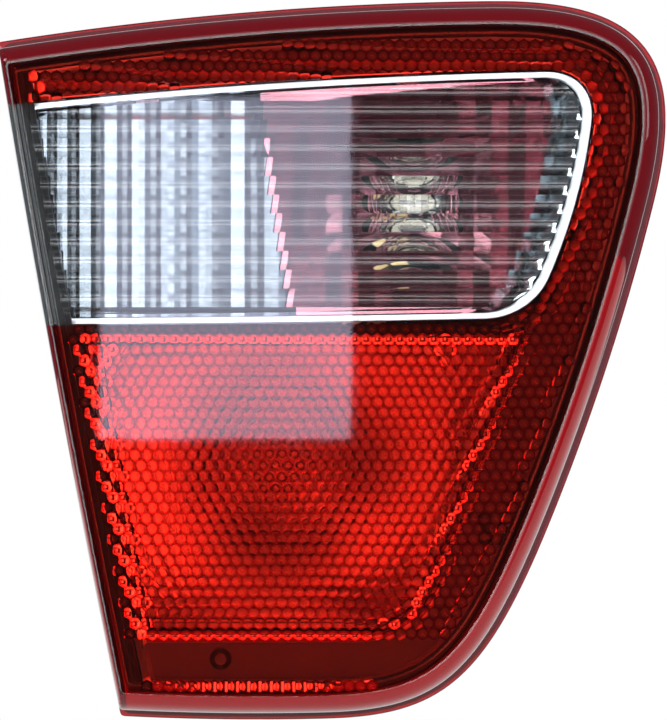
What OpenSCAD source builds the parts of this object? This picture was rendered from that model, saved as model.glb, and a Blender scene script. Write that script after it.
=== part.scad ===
// Tail light cluster for the inner rear corner of a car body.
// X runs across the lens, Z runs up it and Y runs back from the lens into the car.
// The origin is on the panel that the lamp is bolted to, so the rear face of the gasket is at Y = 0.

/* [Outline] */
// Distance of the top left corner from the origin, across
left_reach = 90.5; // [85:0.5:96]
// Height of the top left corner above the origin
top_reach = 85.8; // [82:0.2:90]
// Length of the top edge, to where its line meets the line of the right side
top_w = 188; // [180:0.5:196]
// How far the top edge climbs from left to right
top_rise = 10; // [6:0.5:14]
// Height of the left edge
left_h = 181.7; // [174:0.5:190]
// How far the left edge leans in towards the bottom
left_lean = 33.4; // [28:0.2:38]
// Length of the bottom edge, to where its line meets the line of the right side
base_w = 92.4; // [86:0.2:98]
// How far the bottom edge climbs from left to right
base_rise = 1.2; // [0:0.2:3]
// Bow of the top edge out of its chord
top_bow = 4.9; // [3:0.1:6]
// Bow of the right side out of its chord
right_bow = 7.9; // [6:0.1:9]
// Bow of the bottom edge out of its chord
base_bow = 1.5; // [0.5:0.1:2.5]
// Bow of the left edge out of its chord
left_bow = 1; // [0.2:0.1:2]
// Length that the upper right corner takes from each of its sides
upper_corner = 54; // [48:1:60]
// Length that the lower right corner takes from the right side
lower_corner = 60; // [52:1:66]
// Length that the lower right corner takes from the bottom edge
lower_foot = 37; // [32:1:42]
// Radius of the two sharp corners on the left
sharp_r = 2; // [1:0.2:3]

/* [Window] */
// Distance of the window's upper edge below the lamp's top left corner
window_drop = 18.8; // [17:0.2:20]
// Height of the window at the left
window_h = 57.8; // [56:0.2:59]
// How far the upper edge climbs from left to right
window_rise = 10.6; // [9:0.1:11.4]
// Bow of the upper edge out of its chord
window_bow = 2.1; // [1:0.1:3]
// How far the lower edge climbs from left to right
window_base_rise = 1.8; // [0.6:0.1:3]
// Distance of the window's upper right corner inside the lamp's upper right corner
window_gap = 27; // [25.5:0.1:29.5]
// Distance of the window's lower right corner inside the lamp's right side
window_low_gap = 25.4; // [23.5:0.1:28]
// Bow of the right edge out of its chord
window_side_bow = 4; // [3:0.1:5]
// Length that the upper rounded corner takes from each of its sides
window_upper_corner = 14; // [10:0.5:18]
// Length that the lower rounded corner takes from each of its sides
window_lower_corner = 12; // [9:0.5:15]

// Width of the bright ring round the window
bezel_w = 1.6; // [1.2:0.1:2]
// Depth of that ring
bezel_depth = 7; // [5:0.2:7.2]
// Distance that the ring's right cheek slopes in towards its rear
cheek_slope = 9; // [6:0.5:11]
// Width of the part of the ring that slopes
cheek_w = 34; // [26:1:40]

/* [Lens] */
// Thickness of the lens wall
lens_wall = 2.4; // [1.8:0.1:3]
// Distance of the front face from the panel
face_depth = 34; // [30:0.5:38]
// Width of the step round the lens
flange_step = 2.4; // [1.6:0.1:3]
// Width of that step on the left, where the next lamp stands close
left_step = 0.6; // [0.4:0.1:1]
// Thickness of the flange round the lens
flange_t = 4; // [3:0.2:5]
// Distance of the rear face of that flange from the panel
flange_depth = 12; // [11:0.2:14]
// Thickness of the foot that stands in the housing's channel
foot_w = 2.2; // [1.8:0.1:2.4]
// Width of the rounded shoulder between the flange and the front face
shoulder_w = 4.6; // [3:0.2:6]
// Width of the same shoulder on the left
left_shoulder_w = 1.6; // [1:0.1:2.4]
// Depth of the rounded part of the shoulder
shoulder_rise = 9; // [6:0.5:12]
// Distance between neighbouring pillows in a row
pillow_pitch = 3; // [2.8:0.1:4]
// Distance between the rows of pillows
pillow_row = 2.8; // [2.6:0.1:3.8]
// Height of a pillow above the inner face of the lens
pillow_h = 0.7; // [0.4:0.1:1]
// Height of the plain band in the lower part of the lens
plain_band_h = 9.6; // [6:0.2:12]
// Height of the plain band's centre above the lamp's lower left corner
plain_band_up = 15.9; // [14:0.1:18]
// Height of each flute across the clear window
flute_pitch = 5; // [4:0.1:7]
// Height of a flute above the inner face of the window
flute_h = 0.6; // [0.3:0.1:1]

/* [Housing] */
// Wall thickness of the housing
housing_wall = 2.2; // [1.8:0.1:2.8]
// Distance of the housing's outer edge inside the lens outline
housing_inset = 1; // [0.6:0.1:1.4]
// Thickness of the channel's outer wall
rim_wall = 1.6; // [1.2:0.1:2]
// Width of the channel that the foot of the lens stands in
channel_w = 3; // [2.8:0.1:3.6]
// Distance of the channel's floor from the panel
channel_depth = 6.4; // [6:0.1:7]
// Thickness of the sealant in that channel
seal_t = 3; // [2:0.1:4]
// Distance of the lens's foot from the channel's floor
foot_gap = 1; // [0.6:0.1:1.6]
// Thickness of the foam gasket against the panel
gasket_t = 4; // [3:0.1:5]
// Width of the foam gasket
gasket_w = 4; // [3:0.2:4.6]
// Distance of the gasket inside the lens outline
gasket_inset = 2; // [1.2:0.2:2.6]
// Distance of the rear tub's wall inside the lens outline
tub_inset = 18; // [17.4:0.2:19]
// Depth of the rear tub behind the panel
tub_depth = 30.4; // [29:0.2:34]
// Radius of the rear tub's corners
tub_corner_r = 10; // [6:0.5:14]
// Distance of the land behind the lens edge from the panel
land_depth = 27; // [25:0.2:29]
// Width of that black land
land_w = 3; // [2.4:0.1:3.6]
// Thickness of that black land
land_t = 2.4; // [1.6:0.1:3]

/* [Fixings] */
// Radius of the threaded fixing studs
stud_r = 2.5; // [2:0.25:3]
// Length of the studs behind the panel
stud_reach = 18; // [14:0.5:24]
// Radius of the locating dowel
dowel_r = 3; // [2.5:0.25:4]
// Length of the locating dowel behind the panel
dowel_reach = 8; // [5:0.5:12]
// Distance of the upper stud in from the outline's upper left corner
stud_top_in = 15.5; // [15:0.1:16]
// Distance of the upper stud down from that corner
stud_top_down = 11.8; // [11.4:0.1:12.2]
// Distance of the right stud in from the outline's right side
stud_right_in = 12.8; // [12.8:0.1:13.4]
// Distance of the lower stud in from the outline's lower left corner
stud_bottom_in = 52.1; // [51:0.1:54]
// Distance of the lower stud up from that corner
stud_bottom_up = 11.9; // [11.5:0.1:12.3]
// Distance of the dowel in from the outline's right side
dowel_in = 13.6; // [13:0.1:14]
// Radius of the self-tapping screws' shanks
screw_r = 1.4; // [1.2:0.1:1.8]

/* [Reflectors] */
// Distance of the red field's reflector inside the lamp's left edge
field_left = 12; // [11.6:0.1:14]
// Distance of its right wall inside the middle of the lamp's right side
field_right = 40.8; // [39:0.1:44]
// Distance of its upper wall below the window
field_top = 3.2; // [3:0.1:5]
// Height of its lower wall above the lamp's lower left corner
field_base = 30.5; // [28:0.5:33]
// Length that its rounded corner takes from each of its sides
field_corner = 45; // [36:1:48]
// Depth that the fluted wing falls back from its left end to its right end
wing_fall = 19.4; // [16:0.2:20]
// Radius of the screwed ears
ear_r = 3.4; // [3.2:0.1:4]
// Thickness of the screwed ears
ear_t = 2; // [1.6:0.1:2.4]
// Distance of the tail reflector's flange from the panel
trim_depth = 20; // [19:0.25:20]
// How far the lip stands to the right of the red field at its top
lip_top_w = 17; // [12:0.5:18]
// How far the lip stands inside the red field's right edge at its foot
lip_foot_w = 8; // [4:0.5:12]
// How far the lip stands below the red field
lip_base_w = 7.6; // [5:0.2:8.4]
// Height of the lip, the rim and the collar in front of the flange
lip_rise = 1.6; // [1:0.1:2]
// Width of the slopes of the lip, the rim and the collar
lip_slope = 3.4; // [2.4:0.2:4.4]

/* [Bulbs] */
// Radius of the bulbs' glass
glass_r = 12.5; // [11:0.25:13.25]
// Radius of the bulbs' bayonet caps
cap_r = 7.5; // [7:0.1:8]
// Distance of the bulb caps' front edge behind the panel
cap_front = 18; // [16:0.5:19]
// Length of the bulb caps
cap_l = 16; // [14:0.5:17]
// Length from the cap to the centre of the glass
glass_reach = 22; // [20:0.5:26]
// Focal length of both bowls
focal_l = 17; // [15:0.5:20]
// Thickness of the reflectors
reflector_t = 1.6; // [1.2:0.1:2.2]
// Radius of the hole that each bulb passes through
bulb_hole_r = 14; // [13.5:0.25:16]

/* [Carrier] */
// Half width of the bulb carrier's plate
carrier_r = 24; // [23:0.25:25]
// Thickness of the bulb carrier's plate
carrier_t = 3; // [2.4:0.1:4]
// Radius of the rounded ends of the opening in the housing
opening_r = 20; // [19:0.25:20.5]
// Thickness of the seal under the carrier
carrier_seal_t = 1.6; // [1.2:0.1:2.4]
// Width of the connector's mouth
plug_w = 24; // [22:0.5:28]
// Height of the connector's mouth
plug_h = 11; // [9:0.5:14]
// Length of the connector behind the carrier
plug_l = 21; // [16:0.5:26]
// Width of the contact blades
blade_w = 4.8; // [4:0.1:6]
// Distance between neighbouring contact blades
blade_pitch = 7; // [6.5:0.1:7.5]
// Thickness of the brass tracks and blades
blade_t = 0.8; // [0.6:0.1:1.2]

/* [Hidden] */

// Clearance between parts that are slid into each other
fit_gap = 0.2;
// Overlap that joins the shapes of one part
weld = 0.3;
// A length past every part, for the shapes that only cut
far = 400;
// Corners of the outline, before they are rounded
top_left = [-left_reach, top_reach];
top_right = top_left + [top_w, top_rise];
base_left = top_left + [left_lean, -left_h];
base_right = base_left + [base_w, base_rise];
// Share of the way to the sharp corner at which each curve's handles lie
upper_round = 0.72;
lower_round = 0.82;
window_round = 0.6;
// Points on each bowed side and round each corner
side_steps = 6;
corner_steps = 10;
// Corners of the window, which runs out past the left edge of the lamp
window_nw = top_left + [-6, -window_drop];
window_sw = window_nw - [0, window_h];
window_ne = [top_right[0] - window_gap, window_nw[1] + window_rise];
window_se = [right_side(0.43)[0] - window_low_gap, window_sw[1] + window_base_rise];
window_base_bow = 0.4;
// Sides of the red field's reflector
field_low = base_left[1] + field_base;
field_high = window_sw[1] - field_top;
field_side = right_side(0.5)[0] - field_right;
// Centres of the two bulbs
reverse_at = window_ne - [48.5, 35.6];
tail_at = [
    mix(left_x(mix(field_low, field_high, 0.51)) + field_left, field_side, 0.4796),
    mix(field_low, field_high, 0.51)
];
// Centre of the connector
plug_at = (reverse_at + tail_at) / 2;
// Places of the fixing studs and of the dowel
stud_top_at = top_left + [stud_top_in, -stud_top_down];
stud_right_at = right_side(0.4) - [stud_right_in, 0];
stud_bottom_at = base_left + [stud_bottom_in, stud_bottom_up];
dowel_at = right_side(0.75) - [dowel_in, 0];
stud_boss_r = 4.8;
stud_boss_gap = 0.6;
stud_collar = 0.6;
// Edge between the fluted wing and the bowl, as its upper and lower end
cup_edge = [reverse_at + [-44.6, 38], reverse_at + [-32.4, -37]];
cup_depth = 7;
// Ends of the fluted wing, across and in depth
wing_start = [top_left[0] + 8.5, -land_depth + land_t + fit_gap];
wing_end = [cup_edge[1][0] - 0.6, wing_start[1] + wing_fall];
// Ears of the reflectors: the screw's place, the place where the ear joins its wall, and its depth
wing_ear_x = mix(wing_start[0], wing_end[0], 0.45);
wing_ear = [[wing_ear_x, top_left[1] - 7.2], [wing_ear_x, top_left[1] - 17.3], 9];
bowl_side_ear = bowl_ear(right_side(0.257) - [14.2, 0], reverse_at, 12);
bowl_top_ear = bowl_ear(window_ne + [-50.5, 5.4], reverse_at, 12);
tail_side_ear = flange_screw([right_side(0.73)[0] - 17.4, field_low + 20.4]);
tail_base_ear = flange_screw(base_left + [27.1, 15.9]);
ears = [wing_ear, bowl_side_ear, bowl_top_ear, tail_side_ear, tail_base_ear];
vent_at = [mix(left_x(reverse_at[1]) + tub_inset, reverse_at[0], 0.41), reverse_at[1] + 3];
vent_r = 3.5;
// Wall between the two chambers: its distance below the window, and how far up the window's side it goes
partition_gap = 0.4;
partition_rise = 4;
// Ribs on the rear wall
rib_pairs = 4;
rib_pitch = 18;
rib_w = 1.6;
// Radius to which the bowls' curve is drawn before it is cut
bowl_r = 120;
// Rise of the red field's upper edge to the right
field_rise = 0.7;
// Rounded corner of the lip, up its side and along its base
lip_corner_h = 3.4;
lip_corner_w = 19;
// Width of the lip's crest, and the depth at which the walls inside it end on the bowl
lip_crest_w = 1.2;
lip_floor = 13;
lip_depth = trim_depth + ear_t + lip_rise;
// Gap between the flange's collar and the window
collar_gap = 0.8;
// Thickness of the skirt on the left, and steps in the rounded shoulder
left_wall = 2;
shell_steps = 5;
// Distances from the panel, forward of it
skirt_depth = face_depth - shoulder_rise;
inner_face = face_depth - lens_wall;
// Gap between the window's edge and the bright ring
bezel_gap = 0.3;
// Insets of the lens's foot and of the tub's wall
channel_inset = housing_inset + rim_wall;
foot_inset = channel_inset + 0.3;
wall_inset = channel_inset + channel_w;
inner_inset = wall_inset + housing_wall;
land_inset = flange_step + shoulder_w + 0.2;
land_left_inset = left_step + left_shoulder_w + 0.8;

function mix(p, q, t) = p + (q - p) * t;

function unit(v) = v / norm(v);

// Distance across to the lamp's left edge at a height, and a point on its right side
function left_x(height) =
    mix(base_left[0], top_left[0], (height - base_left[1]) / (top_left[1] - base_left[1]));

function right_side(t) = side_point(top_right, base_right, right_bow, t);

// An ear whose strip runs in towards its bowl's bulb, as far as the bowl's own space lets it
function bowl_ear(screw, centre, depth) = [screw, mix(centre, screw, 0.45), depth];

// A screw through the tail reflector's flange
function flange_screw(screw) = [screw, screw, trim_depth];

// A point on a side from p to q that bows out to the left of its direction
function side_point(p, q, bow, t) =
    mix(p, q, t) + [p[1] - q[1], q[0] - p[0]] / norm(q - p) * 4 * bow * t * (1 - t);

// The direction of that side at the same point
function side_way(p, q, bow, t) =
    unit(q - p + [p[1] - q[1], q[0] - p[0]] / norm(q - p) * 4 * bow * (1 - 2 * t));

// Where two lines meet, each given by a point and a direction
function meeting(p, v, q, w) =
    p + v * ((q - p)[0] * w[1] - (q - p)[1] * w[0]) / (v[0] * w[1] - v[1] * w[0]);

function cubic(a, b, c, d, t) =
    a * pow(1 - t, 3) + b * 3 * t * pow(1 - t, 2) + c * 3 * t * t * (1 - t) + d * pow(t, 3);

function side(p, q, bow, from, to) =
    [for (i = [0 : side_steps - 1]) side_point(p, q, bow, mix(from, to, i / side_steps))];

// A rounded corner that leaves p along v and reaches q along w
function corner(p, v, q, w, fullness) =
    let (tip = meeting(p, v, q, w))
    [for (i = [0 : corner_steps - 1])
        cubic(p, mix(p, tip, fullness), mix(q, tip, fullness), q, i / corner_steps)];

// The lamp's outline, clockwise from the top left; grow moves the left edge outwards
function outline(grow = 0) =
    let (
        a = top_left - unit(top_right - top_left) * grow,
        d = base_left - unit(base_right - base_left) * grow,
        top_end = 1 - upper_corner / norm(top_right - a),
        right_len = norm(base_right - top_right),
        right_start = upper_corner / right_len,
        right_end = 1 - lower_corner / right_len,
        base_start = lower_foot / norm(d - base_right)
    )
    concat(
        side(a, top_right, top_bow, 0, top_end),
        corner(
            side_point(a, top_right, top_bow, top_end),
            side_way(a, top_right, top_bow, top_end),
            side_point(top_right, base_right, right_bow, right_start),
            side_way(top_right, base_right, right_bow, right_start),
            upper_round
        ),
        side(top_right, base_right, right_bow, right_start, right_end),
        corner(
            side_point(top_right, base_right, right_bow, right_end),
            side_way(top_right, base_right, right_bow, right_end),
            side_point(base_right, d, base_bow, base_start),
            side_way(base_right, d, base_bow, base_start),
            lower_round
        ),
        side(base_right, d, base_bow, base_start, 1),
        side(d, a, left_bow, 0, 1)
    );

// The outline moved in by an inset, with a smaller one of its own on the left
module area(inset, left_inset) {
    offset(delta = -inset)
        polygon(outline(inset - left_inset));
}

module even_area(inset) {
    area(inset, inset);
}

// Only the flange and the housing show the small radius of the sharp corners
module rounded_area(inset, r = sharp_r) {
    offset(r = r, $fn = 32)
        offset(delta = -r)
            even_area(inset);
}

function window_line() =
    let (
        side_len = norm(window_se - window_ne),
        top_end = 1 - window_upper_corner / norm(window_ne - window_nw),
        side_start = window_upper_corner / side_len,
        side_end = 1 - window_lower_corner / side_len,
        base_start = window_lower_corner / norm(window_sw - window_se)
    )
    concat(
        side(window_nw, window_ne, window_bow, 0, top_end),
        corner(
            side_point(window_nw, window_ne, window_bow, top_end),
            side_way(window_nw, window_ne, window_bow, top_end),
            side_point(window_ne, window_se, window_side_bow, side_start),
            side_way(window_ne, window_se, window_side_bow, side_start),
            window_round
        ),
        side(window_ne, window_se, window_side_bow, side_start, side_end),
        corner(
            side_point(window_ne, window_se, window_side_bow, side_end),
            side_way(window_ne, window_se, window_side_bow, side_end),
            side_point(window_se, window_sw, window_base_bow, base_start),
            side_way(window_se, window_sw, window_base_bow, base_start),
            window_round
        ),
        side(window_se, window_sw, window_base_bow, base_start, 1),
        [window_sw]
    );

module window_area(inset = 0) {
    offset(delta = -inset)
        polygon(window_line());
}

// What is drawn in the XZ plane, made solid between two places along Y
module slab(front, back) {
    translate([0, back, 0])
        rotate([90, 0, 0])
            linear_extrude(height = back - front)
                children();
}

// A cylinder along Y at a place in the XZ plane
module rod(at, r, front, back, fn = 48) {
    translate([at[0], back, at[1]])
        rotate([90, 0, 0])
            cylinder(r = r, h = back - front, $fn = fn);
}

// A profile of radius and distance forward, turned about Y
module turned(at, points, fn = 64) {
    translate([at[0], 0, at[1]])
        rotate([90, 0, 0])
            rotate_extrude($fn = fn)
                polygon(points);
}

// The rounded shoulder, as steps of inset, left inset and distance from the panel; grow moves it inwards
function shoulder(grow, back) =
    let (
        start = [flange_step + grow, left_step + min(grow, left_wall)],
        step = [for (i = [0 : shell_steps]) 90 * i / shell_steps]
    )
    concat(
        [[start[0], start[1], back]],
        [for (turn = step) [
            start[0] + shoulder_w * (1 - cos(turn)),
            start[1] + left_shoulder_w * (1 - cos(turn)),
            skirt_depth + (shoulder_rise - grow) * sin(turn)
        ]]
    );

module shell_slice(step) {
    slab(-step[2], -step[2] + 0.01)
        area(step[0], step[1]);
}

// The body of the lens in front of a plane
module lens_body(grow, back) {
    steps = shoulder(grow, back);
    for (i = [1 : len(steps) - 1])
        hull() {
            shell_slice(steps[i - 1]);
            shell_slice(steps[i]);
        }
}

// The hollow moulding that both parts of the lens are cut from
module lens_shell() {
    difference() {
        union() {
            lens_body(0, flange_depth + weld);
            slab(-flange_depth - flange_t, -flange_depth)
                rounded_area(0);
        }
        lens_body(lens_wall, flange_depth + flange_t);
        slab(-flange_depth - flange_t - weld, -flange_depth + 1)
            even_area(foot_inset + foot_w);
    }
}

module lens_foot() {
    slab(-flange_depth - 1, -channel_depth - foot_gap)
        difference() {
            even_area(foot_inset);
            even_area(foot_inset + foot_w);
        }
}

// Distance of a point inside a convex outline that runs clockwise
function depth_inside(p, line) =
    min([for (i = [0 : len(line) - 1])
        let (
            a = line[i],
            b = line[(i + 1) % len(line)],
            way = unit(b - a)
        )
        (p - a)[0] * way[1] - (p - a)[1] * way[0]]);

// Where the lens has pillows: inside its rim, off the window and off the plain band
function has_pillow(p, rim, window) =
    depth_inside(p, rim) > land_inset + land_w + pillow_pitch / 2
    && depth_inside(p, window) < -1.2 - pillow_pitch / 2
    && abs(p[1] - base_left[1] - plain_band_up) > plain_band_h / 2 + pillow_row / 2;

// One pillow: a low peak on six corners, on a prism that sinks into the wall
module pillow(at) {
    corners = [for (k = [0 : 5]) at + [
        pillow_pitch / 2 * [0, 1, 1, 0, -1, -1][k],
        pillow_row / 3 * [2, 1, -1, -2, -1, 1][k]
    ]];
    polyhedron(
        points = concat(
            [for (c = corners) [c[0], -inner_face, c[1]]],
            [for (c = corners) [c[0], -inner_face - weld, c[1]]],
            [[at[0], -inner_face + pillow_h, at[1]]]
        ),
        faces = concat(
            [for (k = [0 : 5]) [12, (k + 1) % 6, k]],
            [for (k = [0 : 5]) [k, (k + 1) % 6, (k + 1) % 6 + 6, k + 6]],
            [[6, 7, 8, 9, 10, 11]]
        )
    );
}

module pillow_field() {
    rim = outline(land_inset - land_left_inset);
    window = window_line();
    rows = ceil(left_h / pillow_row / 2) + 3;
    cols = ceil(top_w / pillow_pitch / 2);
    for (row = [-rows : rows])
        for (col = [-cols : cols]) {
            at = [(col + (row % 2 == 0 ? 0 : 0.5)) * pillow_pitch, row * pillow_row];
            if (has_pillow(at, rim, window))
                pillow(at);
        }
}

module red_lens() {
    color("firebrick")
        difference() {
            union() {
                lens_shell();
                lens_foot();
                pillow_field();
            }
            slab(-face_depth - 1, 0)
                window_area();
        }
}

// Half round flutes that run across the window, on a strip that sinks into the wall
module flutes() {
    r = (pow(flute_pitch / 2, 2) + pow(flute_h, 2)) / (2 * flute_h);
    half = asin(flute_pitch / 2 / r);
    arc_steps = 6;
    profile = concat(
        [[-inner_face - weld, window_ne[1] + window_bow], [-inner_face - weld, window_sw[1]]],
        [for (k = [0 : floor((window_ne[1] - window_sw[1]) / flute_pitch)])
            for (s = [0 : arc_steps - 1])
                let (turn = mix(-half, half, s / arc_steps))
                [
                    -inner_face + 0.1 + flute_h - r + r * cos(turn),
                    window_sw[1] + flute_pitch * (k + 0.5) + r * sin(turn)
                ]]
    );
    translate([window_nw[0], 0, 0])
        rotate([90, 0, 90])
            linear_extrude(height = window_ne[0] - window_nw[0])
                polygon(profile);
}

module clear_lens() {
    color("lightcyan")
        union() {
            intersection() {
                union() {
                    lens_shell();
                    lens_foot();
                }
                slab(-face_depth - 1, 0)
                    window_area();
            }
            intersection() {
                flutes();
                slab(-inner_face - 1, -inner_face + 2)
                    intersection() {
                        window_area(3);
                        area(land_inset, land_left_inset + land_w);
                    }
            }
        }
}

module lens_seal() {
    color("dimgray")
        difference() {
            slab(-channel_depth - seal_t, -channel_depth)
                difference() {
                    even_area(channel_inset);
                    even_area(wall_inset);
                }
            slab(-channel_depth - seal_t - 1, -channel_depth - foot_gap)
                difference() {
                    even_area(foot_inset);
                    even_area(foot_inset + foot_w);
                }
        }
}

module rear_area(inset) {
    rounded_area(tub_inset + inset, tub_corner_r);
}

// A long rounded opening round both bulbs
module carrier_area(r) {
    hull() {
        translate(reverse_at)
            circle(r = r, $fn = 64);
        translate(tail_at)
            circle(r = r, $fn = 64);
    }
}

// A straight strip between two points of the XZ plane
module strip(p, q, w) {
    translate(p)
        rotate(atan2(q[1] - p[1], q[0] - p[0]))
            translate([0, -w / 2])
                square([norm(q - p), w]);
}

// Places of the four carrier screws, beside the line between the bulbs
carrier_way = unit(reverse_at - tail_at);
carrier_side = [carrier_way[1], -carrier_way[0]];
carrier_hold = 17;
carrier_screw_at = [for (u = [-1, 1]) for (v = [-1, 1])
    plug_at + carrier_way * carrier_hold * u + carrier_side * (carrier_r + 3) * v];
carrier_front = tub_depth + carrier_seal_t;
carrier_back = carrier_front + carrier_t;

module housing() {
    color([0.13, 0.13, 0.14])
        difference() {
            union() {
                slab(-channel_depth, -gasket_t)
                    difference() {
                        rounded_area(housing_inset);
                        rear_area(housing_wall);
                    }
                slab(-flange_depth + 0.4, -channel_depth + weld)
                    difference() {
                        rounded_area(housing_inset);
                        even_area(channel_inset);
                    }
                slab(-land_depth + land_t - weld, -channel_depth + weld)
                    difference() {
                        even_area(wall_inset);
                        even_area(inner_inset);
                    }
                slab(-land_depth, -land_depth + land_t)
                    difference() {
                        area(land_inset, land_left_inset);
                        area(land_inset + land_w, land_left_inset + land_w);
                    }
                slab(-gasket_t - weld, tub_depth)
                    difference() {
                        rear_area(0);
                        rear_area(housing_wall);
                    }
                slab(tub_depth - housing_wall, tub_depth)
                    rear_area(0);
                partition();
                bosses();
                rear_ribs();
                rod(vent_at, vent_r, tub_depth - weld, tub_depth + 6);
                rod(dowel_at, dowel_r, -gasket_t - weld, dowel_reach);
            }
            slab(tub_depth - housing_wall - 1, tub_depth + 1)
                carrier_area(opening_r);
            rod(vent_at, vent_r - 1.4, tub_depth - housing_wall - 1, tub_depth + 7);
            for (at = [stud_top_at, stud_right_at, stud_bottom_at])
                rod(at, stud_r + stud_collar + 0.1, -channel_depth - 1, 1);
            for (ear = ears)
                rod(ear[0], screw_r + 0.1, -ear[2] - 1, -channel_depth + 1);
            for (at = carrier_screw_at)
                rod(at, screw_r + 0.1, tub_depth - 9, tub_depth + 1);
        }
}

// Wall between the two lamp chambers, under the window

module partition() {
    intersection() {
        slab(-land_depth + land_t, tub_depth - housing_wall)
            difference() {
                translate([0, -housing_wall - partition_gap])
                    window_area();
                translate([0, -partition_gap])
                    window_area(-0.01);
                translate([-far, window_se[1] + partition_rise])
                    square(2 * far);
            }
        union() {
            slab(-land_depth, -channel_depth + weld)
                even_area(wall_inset + 1);
            slab(-channel_depth, tub_depth)
                rear_area(1);
        }
        slab(-land_depth, tub_depth - 10)
            square(2 * far, center = true);
    }
}

module bosses() {
    for (at = [stud_top_at, stud_right_at, stud_bottom_at])
        rod(at, stud_boss_r, -gasket_t - weld, -stud_boss_gap);
    for (ear = ears)
        rod(ear[0], ear_r, -ear[2], -channel_depth + weld);
    for (at = carrier_screw_at)
        rod(at, 3.6, tub_depth - 10, tub_depth - weld);
}

// Stiffening ribs on the rear wall, beside the bulb carrier

module rear_ribs() {
    slab(tub_depth - weld, tub_depth + 2)
        intersection() {
            difference() {
                rear_area(0.6);
                carrier_area(carrier_r + 9);
            }
            union() {
                for (k = [-rib_pairs : rib_pairs])
                    translate([-far, plug_at[1] + (k - 0.36) * rib_pitch - rib_w / 2])
                        square([2 * far, rib_w]);
            }
        }
}

// Bright ring round the window, wider at its right
module window_bezel() {
    color("gainsboro")
        difference() {
            slab(-inner_face + 0.05, -inner_face + bezel_depth)
                intersection() {
                    window_area(bezel_gap);
                    even_area(inner_inset + fit_gap);
                }
            slab(-inner_face - 1, -inner_face + bezel_depth + 1)
                difference() {
                    window_area(bezel_gap + bezel_w);
                    bezel_cheek();
                }
            hull() {
                slab(-inner_face - 1, -inner_face + 0.1)
                    bezel_mouth(0);
                slab(-inner_face + bezel_depth, -inner_face + bezel_depth + 1)
                    bezel_mouth(cheek_slope);
            }
        }
}

// The right part of the ring, where it slopes back into the bowl
module bezel_cheek() {
    translate([window_ne[0] - cheek_w, window_sw[1] - far])
        square(2 * far);
}

module bezel_mouth(inset) {
    intersection() {
        window_area(bezel_gap + bezel_w);
        translate([-inset, 0])
            window_area(bezel_gap + bezel_w);
    }
}

module bowl_area(inset) {
    intersection() {
        window_area(bezel_gap + bezel_w + 2 * fit_gap + inset);
        even_area(inner_inset + 2 * fit_gap + inset);
    }
}

module beside_cup(gap, left) {
    p = cup_edge[0];
    q = cup_edge[1];
    way = left ? -1 : 1;
    polygon([p + [way * gap, 0], q + [way * gap, 0], [way * far, q[1]], [way * far, p[1]]]);
}

// The space in front of a paraboloid, which steps forward where the housing has its flange

module bowl_space(at, grow) {
    rim = cap_front - 2 + grow;
    intersection() {
        turned(at, [
            for (r = [0 : 6 : bowl_r]) [r, (r * r - pow(bulb_hole_r, 2)) / (4 * focal_l) - rim],
            [bowl_r, far],
            [0, far]
        ], 48);
        union() {
            slab(-face_depth, -channel_depth - reflector_t - 0.5 + grow)
                square(2 * far, center = true);
            slab(-face_depth, cap_front + 9)
                rear_area(housing_wall + 0.5 + reflector_t - grow);
        }
    }
}

module reverse_bowl() {
    color("rosybrown")
        difference() {
            union() {
                intersection() {
                    slab(-inner_face + bezel_depth + fit_gap, cap_front + 6)
                        intersection() {
                            bowl_area(0);
                            beside_cup(0.15, false);
                        }
                    bowl_space(reverse_at, reflector_t);
                }
                ear_plate(bowl_side_ear);
                ear_plate(bowl_top_ear);
            }
            intersection() {
                slab(-inner_face, cap_front + 6)
                    intersection() {
                        bowl_area(reflector_t);
                        beside_cup(0.15 + reflector_t, false);
                    }
                bowl_space(reverse_at, 0);
            }
            slab(-face_depth, -cup_depth)
                difference() {
                    beside_cup(-1, false);
                    beside_cup(reflector_t + weld, false);
                }
            rod(reverse_at, bulb_hole_r, 0, cap_front + 9);
            ear_hole(bowl_side_ear);
            ear_hole(bowl_top_ear);
        }
}

module ear_plate(ear) {
    slab(-ear[2] - ear_t, -ear[2])
        union() {
            translate(ear[0])
                circle(r = ear_r, $fn = 48);
            strip(ear[0], ear[1], 2 * (ear_r - weld));
        }
}

module ear_hole(ear) {
    rod(ear[0], screw_r + fit_gap, -ear[2] - ear_t - 1, -ear[2] + 1);
}

// Edge of the reflector behind the red field: straight on three sides, round at its lower right
function tail_line() =
    let (
        turn = min(field_corner, field_high - field_low - 4),
        side_end = [field_side, field_low + turn],
        base_start = [field_side - turn, field_low]
    )
    concat(
        [[left_x(field_high) + field_left, field_high], [field_side, field_high + field_rise]],
        corner(side_end, [0, -1], base_start, [-1, 0], 0.6),
        [base_start, [left_x(field_low) + field_left, field_low]]
    );

// Crest of the lip round the red field, which stands further out at the right and below
function lip_line() =
    let (
        foot = field_low - lip_base_w,
        side_end = [field_side - lip_foot_w, field_low + lip_corner_h],
        base_start = [side_end[0] - lip_corner_w, foot],
        top_end = [field_side + lip_top_w, field_high + field_rise]
    )
    concat(
        [[left_x(field_high) + field_left, field_high], top_end],
        corner(side_end, unit(side_end - top_end), base_start, [-1, 0], 0.6),
        [base_start, [left_x(foot) + field_left, foot]]
    );

module lip_slice(depth, inset) {
    slab(-depth, -depth + 0.01)
        offset(delta = -inset)
            polygon(lip_line());
}

module tail_slice(depth, inset) {
    slab(-depth, -depth + 0.01)
        offset(delta = -inset)
            polygon(tail_line());
}

// Everything that the flange may cover: the tub's inside, but for the window and the wall under it
module trim_area() {
    difference() {
        even_area(inner_inset + 2 * fit_gap);
        window_area(-collar_gap);
        translate([0, -housing_wall - 2 * partition_gap])
            window_area();
    }
}

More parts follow.
